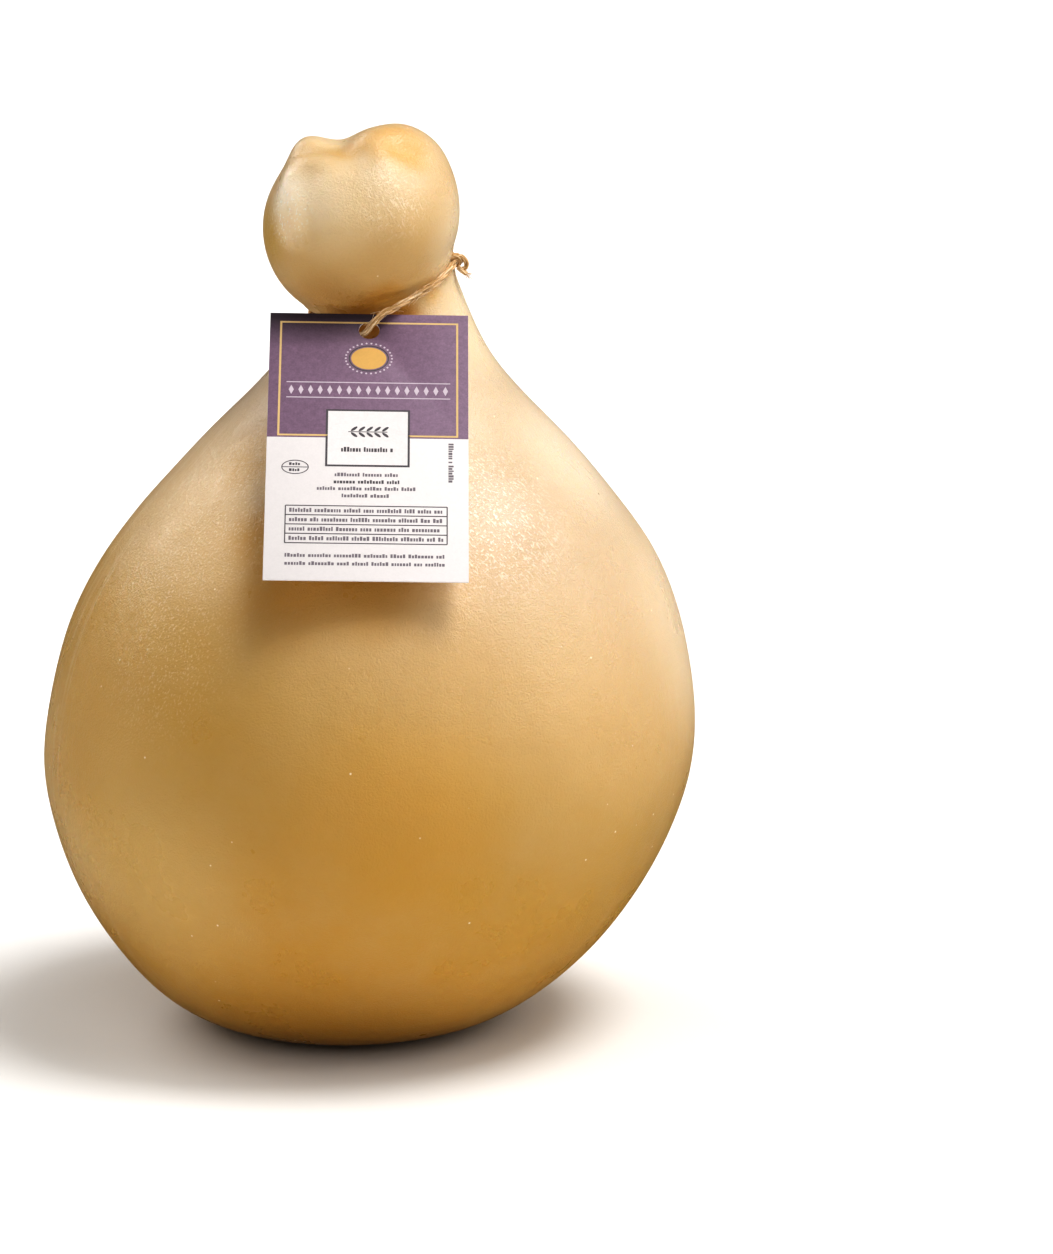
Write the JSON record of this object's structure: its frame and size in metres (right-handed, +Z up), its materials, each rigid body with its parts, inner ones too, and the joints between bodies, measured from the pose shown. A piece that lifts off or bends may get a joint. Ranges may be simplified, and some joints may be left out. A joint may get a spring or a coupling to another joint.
{
  "type": "caciocavallo cheese",
  "caption": "Whole pear-shaped stretched-curd cheese with a tied-off head, a twine knotted round its neck and a printed card tag hanging on the twine.",
  "frame": {"origin": "centre of the flat spot that the cheese stands on", "axes": "+Z up, the tag faces -Y, the knot is on the +X side of the neck"},
  "size_m": [0.1622, 0.162, 0.2245],
  "materials": {
    "rind": "smooth thin waxy cheese rind, straw yellow, slightly translucent, semi-gloss",
    "jute": "tan twisted jute twine with loose fibres",
    "card": "uncoated white card with a purple printed field"
  },
  "bodies": {
    "root": {"cheese": "rind", "twine": "jute", "tag": "card"}
  },
  "joints": []
}
